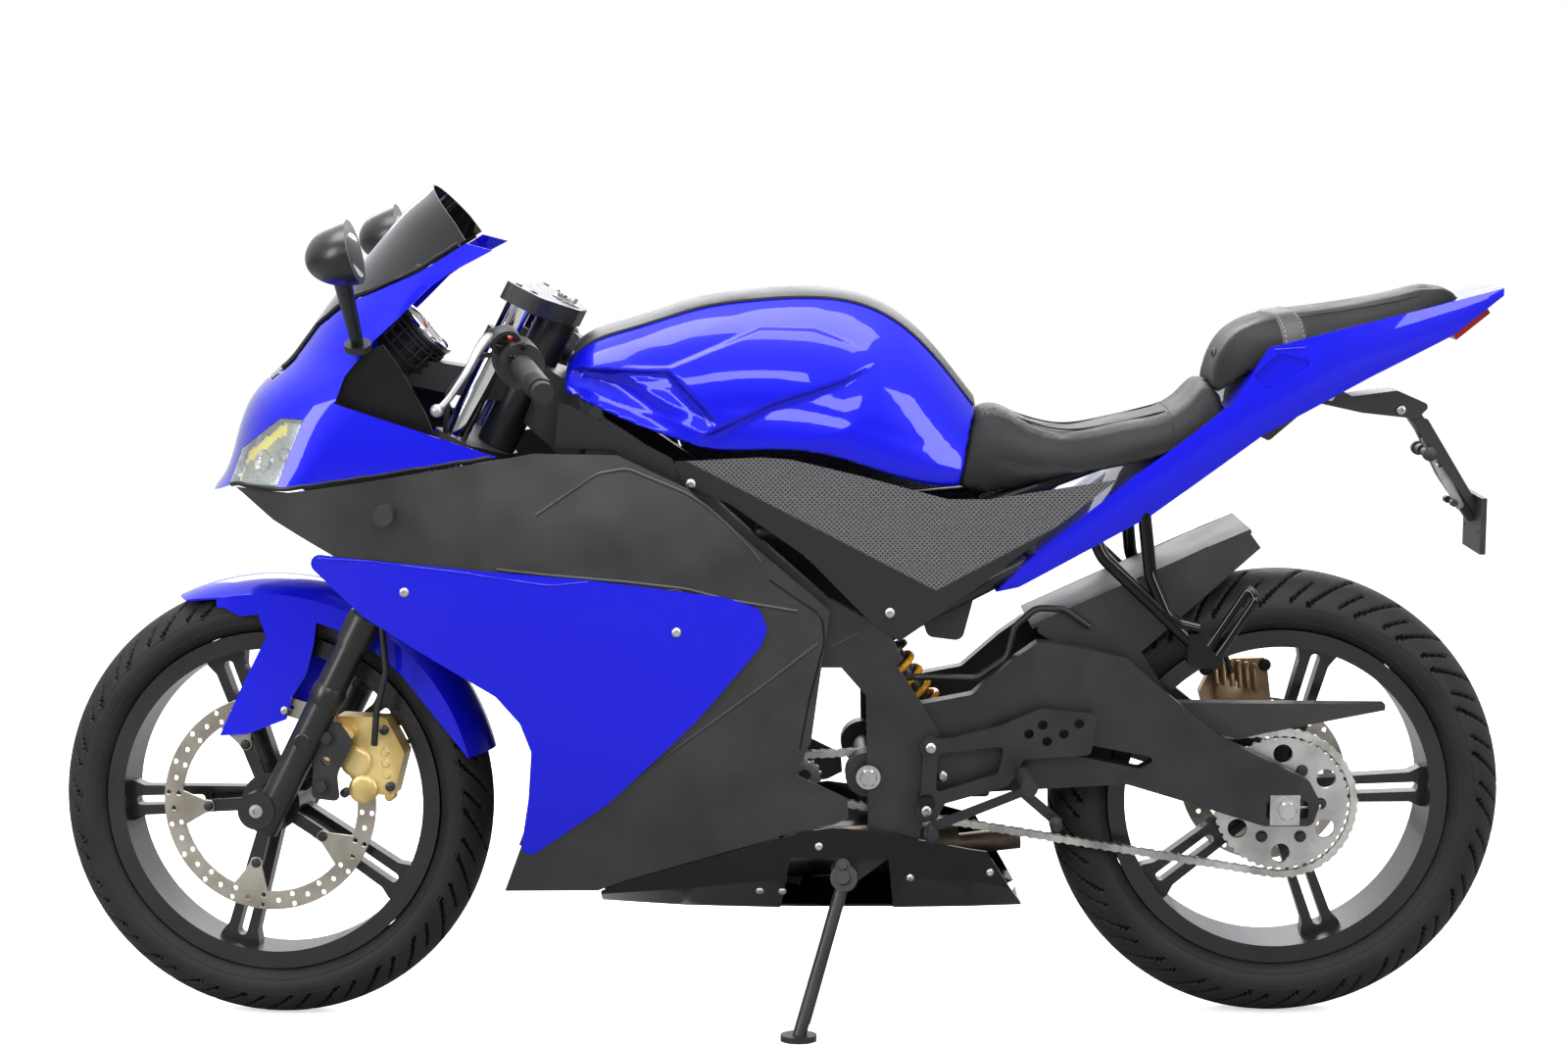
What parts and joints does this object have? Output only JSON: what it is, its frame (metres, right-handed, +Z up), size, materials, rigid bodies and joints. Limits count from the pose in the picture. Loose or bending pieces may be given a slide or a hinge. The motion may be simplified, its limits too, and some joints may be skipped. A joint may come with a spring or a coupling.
{
  "type": "faired sport motorcycle",
  "caption": "Small sport motorcycle with a full fairing, low clip-on handlebars, a raised pillion seat, cast wheels and a side stand that holds it leaning.",
  "frame": {"origin": "centre of the bounding box on the ground", "axes": "+X forward, +Y to the rider's left, +Z up; it stands leaning to the left on its side stand"},
  "size_m": [1.9557, 0.677, 1.1252],
  "materials": {
    "blue_paint": "gloss",
    "bolt_steel": "satin",
    "bracket_dark": "satin",
    "caliper_gold": "satin",
    "cast_aluminium": "satin",
    "chain_steel": "satin",
    "disc_steel": "satin",
    "engine_cast": "matte",
    "exhaust_steel": "satin",
    "fork_black": "satin",
    "fork_chrome": "polished",
    "frame_dark": "satin",
    "gloss_black": "gloss",
    "grip_rubber": "matte",
    "hose_rubber": "matte",
    "lamp_lens": "clear",
    "matte_black": "matte",
    "radiator_black": "matte",
    "red_lens": "gloss",
    "seat_cover": "matte",
    "smoked_screen": "clear",
    "spring_yellow": "gloss",
    "sprocket_steel": "satin",
    "stand_black": "satin",
    "tyre": "matte",
    "wheel_black": "gloss"
  },
  "bodies": {
    "root": {"frame": "frame_dark", "engine": "engine_cast", "swingarm": "frame_dark", "rear_axle": "bolt_steel", "chain": "chain_steel", "front_sprocket": "sprocket_steel", "rear_caliper": "caliper_gold", "exhaust": "exhaust_steel", "radiator": "radiator_black", "rear_shock": "spring_yellow", "hugger": "matte_black", "rear_hose": "hose_rubber", "footrests": "bracket_dark", "passenger_hangers": "gloss_black", "tank": "blue_paint", "tank_strip": "matte_black", "rider_seat": "seat_cover", "pillion_seat": "seat_cover", "tail_fairing": "blue_paint", "middle_fairings": "matte_black", "side_panels": "blue_paint", "upper_fairing": "blue_paint", "headlights": "lamp_lens", "windscreen": "smoked_screen", "cockpit_trims": "matte_black", "belly_pan": "gloss_black", "side_covers": "matte_black", "instruments": "matte_black", "mirrors": "gloss_black", "plate_bracket": "matte_black", "tail_lamp": "red_lens", "under_box": "matte_black", "indicators": "matte_black"},
    "front_wheel": {"front_tyre": "tyre", "front_rim": "wheel_black", "front_disc": "disc_steel"},
    "rear_wheel": {"rear_tyre": "tyre", "rear_rim": "wheel_black", "rear_disc": "disc_steel", "rear_sprocket": "sprocket_steel"},
    "side_stand": {"side_stand": "stand_black"},
    "steering": {"front_axle": "bolt_steel", "fork_legs": "fork_black", "fork_tubes": "fork_chrome", "yokes": "cast_aluminium", "handlebars": "matte_black", "grips": "grip_rubber", "levers": "cast_aluminium", "front_mudguard": "blue_paint", "front_caliper": "caliper_gold", "control_lines": "hose_rubber"}
  },
  "joints": [
    {"name": "steering", "type": "hinge", "parent": "root", "child": "steering", "pos_m": [0.63754, -0.05152, 0.27255], "axis": [-0.4462, 0.064, 0.8926], "range_deg": [-23.5, 39]},
    {"name": "front_wheel_spin", "type": "hinge", "parent": "steering", "child": "front_wheel", "pos_m": [0.68366, -0.05682, 0.29598], "axis": [0.1199, 0.9927, -0.0112], "continuous": true},
    {"name": "rear_wheel_spin", "type": "hinge", "parent": "root", "child": "rear_wheel", "pos_m": [-0.67092, -0.04909, 0.3064], "axis": [0, 0.9974, -0.0715], "continuous": true},
    {"name": "side_stand_swing", "type": "hinge", "parent": "root", "child": "side_stand", "pos_m": [-0.08292, 0.07719, 0.20793], "axis": [0.1237, 0.9647, 0.2323], "range_deg": [0, 96]}
  ]
}
